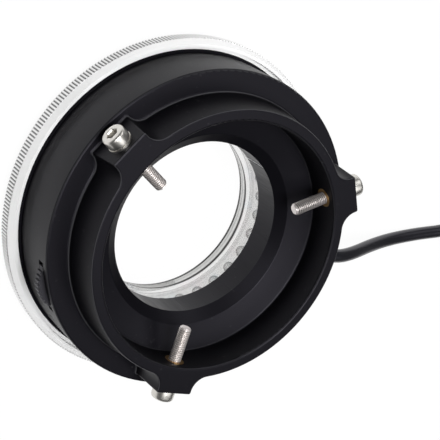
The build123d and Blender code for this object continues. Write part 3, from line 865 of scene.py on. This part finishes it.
@dataclass(frozen=True)
class ClampScrew:
    """One socket cap screw of the clamp collar, with its thread and hexagon socket."""

    body: Body
    bearing: float
    finish: Finish
    height: float = 25.8
    tip: float = 21.8
    seat: float = 37.8
    crest_radius: float = 1.5
    root_radius: float = 1.22
    pitch: float = 0.5
    crest_sharpness: float = 1.25
    crest_flat: float = 0.2
    tip_chamfer: float = 0.4
    tip_step: float = 0.02
    tip_pole: float = 0.4
    head_radius: float = 2.75
    head_height: float = 2.8
    head_round: float = 0.85
    seat_round: float = 0.12
    mouth_share: float = 0.72
    socket_across: float = 2.5
    socket_depth: float = 1.3
    socket_bevel: float = 0.16
    drill_radius: float = 0.3
    drill_depth: float = 0.35
    edge_margin: float = 0.01
    sharp_degrees: float = 50.0
    columns: int = 48
    rows_per_turn: int = 8

    @property
    def length(self) -> float:
        """The shank's length, from the tip to the head's seat."""
        return self.seat - self.tip

    def thread(self, angles: np.ndarray) -> np.ndarray:
        """The threaded shank as a grid over length s and angle a.

        The radius falls from crest to root and back once per pitch along s, shifted by a full pitch per
        turn of a: it is crest - depth * (sharpness |2 f - 1| - flat), with f the fraction of
        s / pitch - a / turn, kept between crest and root. Near the tip it is also kept under a cone.
        """
        rows = int(self.length / self.pitch * self.rows_per_turn) + 1
        along = np.linspace(0, self.length, rows)[:, None]
        phase = np.mod(along / self.pitch - angles / (2 * math.pi), 1.0)
        dip = np.clip(self.crest_sharpness * np.abs(2 * phase - 1) - self.crest_flat, 0, 1)
        radius = self.crest_radius - (self.crest_radius - self.root_radius) * dip
        radius = np.minimum(radius, self.crest_radius - self.tip_chamfer + along)
        return polar(radius, angles, along)

    def hexagon(self, across: float, height: float, angles: np.ndarray) -> np.ndarray:
        """One row on a hexagon, of radius across / 2 / cos(b), with b the angle off a side's middle."""
        from_side = np.mod(angles + math.pi / 6, math.pi / 3) - math.pi / 6
        return polar(across / 2 / np.cos(from_side), angles, height)[None]

    def mark_depth(self, piece: bpy.types.Object, axes: np.ndarray, origin: np.ndarray) -> None:
        """Writes how deep each point lies in the thread, and which points are on the shank.

        The depth is (crest - d) / (crest - root), with d the distance off the screw's axis: 0 at the crest,
        1 at the root, and 0 on the tip's cone and the head.

        Args:
            piece: The screw.
            axes: The screw's frame, with its Z along the shank.
            origin: The frame's origin, at the screw's tip.
        """
        points = np.empty(len(piece.data.vertices) * 3)
        piece.data.vertices.foreach_get("co", points)
        local = (points.reshape(-1, 3) / MM - origin) @ axes.T
        off_axis = np.hypot(local[:, 0], local[:, 1])
        depth = np.clip((self.crest_radius - off_axis) / (self.crest_radius - self.root_radius), 0, 1)
        on_shank = local[:, 2] < self.length - self.edge_margin
        threaded = on_shank & (local[:, 2] > self.tip_chamfer)
        marks = {"thread_depth": np.where(threaded, depth, 0.0), "shank": on_shank.astype(float)}
        for name, values in marks.items():
            layer = piece.data.attributes.new(name, "FLOAT", "POINT")
            layer.data.foreach_set("value", values)

    def build(self, shop: Workshop) -> None:
        """Makes the screw: tip, thread, head, socket, closed at both poles."""
        angles = ring_angles(self.columns)
        top = self.length + self.head_height
        floor = top - self.socket_depth
        tip_radius = self.crest_radius - self.tip_chamfer - self.tip_step
        tip = np.array([[self.tip_pole, 0.0], [tip_radius, 0.0]])
        corners = [
            (self.root_radius, self.length),
            (self.head_radius, self.length),
            (self.head_radius, top),
            (self.socket_across * self.mouth_share, top),
        ]
        head = rounded_outline(corners, [self.seat_round, self.head_round])
        socket = [
            self.hexagon(self.socket_across + 2 * self.socket_bevel, top, angles),
            self.hexagon(self.socket_across, top - self.socket_bevel, angles),
            self.hexagon(self.socket_across, floor, angles),
            revolve(np.array([[self.drill_radius, floor - self.drill_depth]]), angles),
        ]
        grid = np.concatenate([revolve(tip, angles), self.thread(angles), revolve(head, angles), *socket])
        axes = outward_axes(self.bearing)
        origin = axes[2] * self.tip + np.array([0, 0, self.height])
        name = self.body.value.removeprefix("clamp_")
        piece = surface(name, [turned(grid, axes, origin)], poles=True, sharp_degrees=self.sharp_degrees)
        self.mark_depth(piece, axes, origin)
        shop.dress(piece, self.finish)
        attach(piece, self.body.value)
        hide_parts(self.body.value)
        LOG.info("%s at %s degrees", name, self.bearing)


@dataclass(frozen=True)
class LampRow:
    """One ring of round clear lamps, with a domed tip, and a small cup and a chip inside each."""

    node: str
    row_radius: float
    first_bearing: float
    lamps: int = 30
    tip: float = 4.6
    board: float = 12.7
    lamp_radius: float = 1.5
    dome_height: float = 1.6
    dome_rows: int = 9
    first_sweep: float = 0.12
    foot_gap: float = 0.02
    cup_mouth: float = 0.62
    cup_floor: float = 0.3
    cup_wall: float = 0.1
    cup_low: float = 10.2
    cup_high: float = 10.9
    cup_depth: float = 0.35
    cup_pole: float = 0.12
    post_radius: float = 0.25
    post_gap: float = 0.05
    chip_radius: float = 0.4
    chip_pole: float = 0.1
    chip_heights: tuple[float, ...] = (0.2, 0.24, 0.3)
    columns: int = 20

    def centres(self) -> np.ndarray:
        """The plan position of each lamp."""
        bearings = np.radians(self.first_bearing) + ring_angles(self.lamps)
        return np.stack([np.cos(bearings), np.sin(bearings), 0 * bearings], axis=-1) * self.row_radius

    def repeated(self, outline: np.ndarray) -> list[np.ndarray]:
        """A revolved outline at each lamp's place."""
        single = revolve(outline, ring_angles(self.columns))
        return [single + centre for centre in self.centres()]

    def dome(self) -> np.ndarray:
        """The lens: an ellipse r = R sin(t), z = tip + H (1 - cos(t)), then straight up to the board."""
        sweep = np.linspace(self.first_sweep, math.pi / 2, self.dome_rows)
        radius = self.lamp_radius * np.sin(sweep)
        height = self.tip + self.dome_height * (1 - np.cos(sweep))
        foot = [[self.lamp_radius, self.board - self.foot_gap]]
        return np.concatenate([np.stack([radius, height], axis=-1), foot])

    def cup(self) -> np.ndarray:
        """The reflector cup's outline: floor, flared mouth, outer wall, and the post up to the board."""
        floor, outer = self.cup_low + self.cup_depth, self.cup_mouth + self.cup_wall
        return np.array(
            [
                [self.cup_pole, floor],
                [self.cup_floor, floor],
                [self.cup_mouth, self.cup_low],
                [outer, self.cup_low],
                [outer, self.cup_high],
                [self.post_radius, self.cup_high],
                [self.post_radius, self.board - self.post_gap],
            ]
        )

    def chip(self) -> np.ndarray:
        """The light chip's outline: a low disc in the cup."""
        low, middle, high = (self.cup_low + part for part in self.chip_heights)
        return np.array([[self.chip_pole, low], [self.chip_radius, middle], [self.chip_radius, high]])

    def build(self, shop: Workshop) -> None:
        """Makes the lenses, the cups and the chips."""
        lenses = surface(f"{self.node}_lenses", self.repeated(self.dome()), poles=True)
        shop.dress(lenses, LAMP_CLEAR)
        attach(lenses, Body.LAMP.value)
        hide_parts(self.node)
        cups = surface(f"{self.node}_cups", self.repeated(self.cup()), poles=True)
        shop.dress(cups, PLUG_NICKEL)
        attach(cups, Body.LAMP.value)
        chips = surface(f"{self.node}_chips", self.repeated(self.chip()), poles=True)
        shop.dress(chips, PHOSPHOR)
        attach(chips, Body.LAMP.value)
        LOG.info("%s: %s lamps", self.node, self.lamps)


@dataclass(frozen=True)
class Cable:
    """The free cable: out of the strain relief, over the bench, round the tied coil and on to the plug.

    The cord's length is in metres.
    """

    radius: float = 1.8
    exit_bearing: float = -34.5
    exit_height: float = 10.6
    relief_end: float = 46.0
    first_run: float = 4.5
    coil_centre: Point = (123.0, -12.4)
    turn_radius: float = 29.4
    pitch: float = 4.05
    coil_low: float = 2.5
    coil_high: float = 6.55
    turns_in: int = 4
    points_per_turn: int = 24
    end_turn: float = 0.25
    last_run: float = 15.0
    tail_run: float = 11.0
    tail_drift: float = 1.5
    plug_height: float = 5.2
    spline_steps: int = 4
    round_steps: int = 4
    cord_length: float = 1.243

    def exit(self, reach: float = 0.0) -> Place:
        """A point on the strain relief's axis, at its tip or further out."""
        angle = math.radians(self.exit_bearing)
        distance = self.relief_end + reach
        return distance * math.cos(angle), distance * math.sin(angle), self.exit_height

    def bench_points(self) -> list[Place]:
        """The route from the strain relief over the bench to the coil's lead-in."""
        x, y = self.coil_centre[0] - 2 * self.radius, self.coil_centre[1] - self.turn_radius
        return [
            self.exit(),
            self.exit(self.first_run),
            (48.0, -31.0, 9.1),
            (57.0, -33.8, 5.2),
            (66.0, -36.5, 2.5),
            (77.0, -39.4, 1.85),
            (88.0, -42.8, 1.85),
            (x - self.last_run, y, self.coil_low),
            (x, y, self.coil_low),
        ]

    def coil_points(self) -> list[Place]:
        """The coil's turns, counter-clockwise from its south side.

        A turn keeps its distance from the centre over its east half and draws in by one pitch over its west
        half, along a raised cosine. After the inmost turn the cable climbs over half a turn to the upper
        layer, along the smooth step 3 t^2 - 2 t^3, and spirals out again at the same rate. Control points
        stand out by 1 / cos(half a step), so that the smooth line runs at the turns' own radius.
        """
        count = int((2 * self.turns_in + self.end_turn) * self.points_per_turn)
        turn = (np.arange(count) + 0.5) / self.points_per_turn
        west = np.clip(2 * (turn % 1.0) - 1, 0, 1)
        steps = np.floor(turn) + (1 - np.cos(math.pi * west)) / 2
        distance = self.turn_radius - self.pitch * np.minimum(steps, 2 * self.turns_in - steps)
        rise = np.clip(2 * (turn - self.turns_in), 0, 1)
        height = self.coil_low + (self.coil_high - self.coil_low) * rise * rise * (3 - 2 * rise)
        distance = distance / math.cos(math.pi / self.points_per_turn)
        angle = 2 * math.pi * turn - math.pi / 2
        x = self.coil_centre[0] + distance * np.cos(angle)
        y = self.coil_centre[1] + distance * np.sin(angle)
        return np.stack([x, y, height], axis=-1).tolist()

    def tail_points(self) -> list[Place]:
        """The route from the coil down to the plug on the bench."""
        x = self.coil_centre[0] + self.turn_radius
        y = self.coil_centre[1] + 2 * self.radius
        return [
            (x, y, self.coil_high),
            (x, y + self.tail_run, self.coil_high),
            (x - self.tail_drift, y + 2 * self.tail_run, self.plug_height),
            (x - 3 * self.tail_drift, y + 3 * self.tail_run, self.plug_height),
        ]

    def build(self, shop: Workshop, on_cord: list[bpy.types.Object]) -> None:
        """Makes the cable as one smooth round line.

        Args:
            shop: The finishes.
            on_cord: The pieces that sit on the cable; not used.
        """
        points = np.array(self.bench_points() + self.coil_points() + self.tail_points()) * MM
        weights = np.ones((len(points), 1))
        curve = bpy.data.curves.new("power_cable", "CURVE")
        curve.dimensions = "3D"
        spline = curve.splines.new("NURBS")
        spline.points.add(len(points) - 1)
        spline.points.foreach_set("co", np.concatenate([points, weights], axis=1).ravel())
        spline.order_u = 3
        spline.use_endpoint_u = True
        spline.resolution_u = self.spline_steps
        curve.bevel_depth = self.radius * MM
        curve.bevel_resolution = self.round_steps
        curve.use_fill_caps = True
        piece = bpy.data.objects.new("power_cable", curve)
        bpy.context.scene.collection.objects.link(piece)
        shop.dress(piece, CABLE_BLACK)
        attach(piece, Body.LAMP.value)
        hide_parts("cable", "cable_coil", "cable_tail")
        LOG.info("power cable with %s control points", len(points))


# Studio


@dataclass(frozen=True)
class Softbox:
    """A square soft lamp that faces the object, with its power in watts."""

    name: str
    at: Place
    size: float
    power: float
    aim: Place = (0.0, 0.0, 15.0)

    def build(self) -> None:
        """Makes the lamp."""
        light = bpy.data.lights.new(self.name, "AREA")
        light.shape = "SQUARE"
        light.size = self.size * MM
        light.energy = self.power
        lamp = bpy.data.objects.new(self.name, light)
        place = Vector(self.at) * MM
        lamp.location = place
        lamp.rotation_euler = (Vector(self.aim) * MM - place).to_track_quat("-Z", "Y").to_euler()
        bpy.context.scene.collection.objects.link(lamp)


@dataclass(frozen=True)
class Studio:
    """The pale bench, the soft lamps and the camera."""

    bench_size: float = 3000.0
    bench_colour: float = 0.80
    bench_seen: float = 0.96
    bench_mirrored: float = 1.0
    wall_level: float = 1.6
    ceiling_level: float = 0.62
    wall_top: float = 0.30
    ceiling_edge: float = 0.62
    softboxes: tuple[Softbox, ...] = (
        Softbox("key", (-60.0, 110.0, 760.0), 420.0, 6.2),
        Softbox("fill", (520.0, 380.0, 420.0), 380.0, 0.8),
        Softbox("overhead", (244.0, -220.0, 618.0), 400.0, 0.8),
    )
    lens: float = 98.18
    sensor: float = 36.0
    clip_start: float = 10.0
    camera_at: Place = (-105.39, 139.79, 240.71)
    camera_right: Place = (0.85415, -0.12461, 0.50488)
    camera_up: Place = (0.3441, 0.86336, -0.36907)
    camera_forward: Place = (0.3899, -0.48897, -0.78031)

    def bench(self) -> None:
        """A wide pale floor: nearly white to the camera, shadow included, and white in reflections."""
        side = np.array([-self.bench_size, self.bench_size]) / 2
        x, y = np.meshgrid(side, side)
        piece = surface("bench", [np.stack([x, y, 0 * x], axis=-1)], wrap_columns=False)
        material, wires = blank_material("bench_white")
        paths = wires.node("ShaderNodeLightPath").outputs
        seen = wires.math("MAXIMUM", paths["Is Camera Ray"], paths["Is Transmission Ray"])
        mirrored = wires.product(paths["Is Glossy Ray"], self.bench_mirrored)
        share = wires.math("MAXIMUM", wires.product(seen, self.bench_seen), mirrored)
        plain = wires.remap(seen, 0.0, 1.0, self.bench_colour, 1.0)
        lit = wires.product(wires.math("SUBTRACT", 1.0, share), plain)
        grey = wires.node("ShaderNodeCombineXYZ", {0: lit, 1: lit, 2: lit}).outputs[0]
        matt = wires.node("ShaderNodeBsdfDiffuse", {"Color": grey})
        glow = wires.node("ShaderNodeEmission", {"Strength": share})
        wires.show(wires.node("ShaderNodeAddShader", {0: matt.outputs[0], 1: glow.outputs[0]}))
        piece.data.materials.append(material)

    def lights(self) -> None:
        """A room with pale walls and a darker ceiling, and three soft lamps.

        The world's level goes from the walls' to the ceiling's while the height of its direction, from 0 at
        the horizon to 1 overhead, goes from the walls' top to the ceiling's edge.
        """
        world = bpy.data.worlds.new("studio")
        world.use_nodes = True
        sky = world.node_tree.nodes["Background"]
        wires = Wiring(world.node_tree)
        outward = wires.node("ShaderNodeTexCoord").outputs["Generated"]
        upward = wires.node("ShaderNodeSeparateXYZ", {0: outward}).outputs[2]
        levels = (self.wall_level, self.ceiling_level)
        wires.feed(sky.inputs["Strength"], wires.remap(upward, self.wall_top, self.ceiling_edge, *levels))
        bpy.context.scene.world = world
        for softbox in self.softboxes:
            softbox.build()

    def camera(self) -> None:
        """The camera at the photograph's view."""
        lens = bpy.data.cameras.new("camera")
        lens.lens = self.lens
        lens.sensor_width = self.sensor
        lens.clip_start = self.clip_start * MM
        seen_from = bpy.data.objects.new("camera", lens)
        back = -Vector(self.camera_forward)
        turn = Matrix((self.camera_right, self.camera_up, back)).transposed().to_4x4()
        seen_from.matrix_world = Matrix.Translation(Vector(self.camera_at) * MM) @ turn
        bpy.context.scene.collection.objects.link(seen_from)
        bpy.context.scene.camera = seen_from

    def build(self) -> None:
        """Makes the whole studio."""
        self.camera()
        self.bench()
        self.lights()
        bpy.context.scene.view_settings.view_transform = "Standard"
        LOG.info("studio ready")


def main() -> None:
    """Loads the frame, builds each sub-assembly in order and reports it."""
    logging.basicConfig(level=logging.INFO, format="%(name)s: %(message)s")
    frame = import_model()
    Studio().build()
    shop = Workshop()
    on_cord = ["strain_relief", "cable_tie", "plug_body", "plug_barrel", "plug_insulator"]
    Cable().build(shop, [frame["nodes"][node] for node in on_cord])
    ClampScrew(Body.SCREW_A, 0.0, SCREW_STEEL).build(shop)
    ClampScrew(Body.SCREW_B, 120.0, SCREW_STEEL_FAINT_SHADE).build(shop)
    ClampScrew(Body.SCREW_C, 240.0, SCREW_STEEL_FAINT_SHADE).build(shop)
    LampRow("inner_leds", 24.9, 0.0).build(shop)
    LampRow("outer_leds", 33.2, -28.5).build(shop)
    for node, finish in NODE_FINISHES.items():
        shop.dress_node(frame["nodes"][node], finish)
        LOG.info("%s dressed in %s", node, finish.name)


if __name__ == "__main__":
    main()
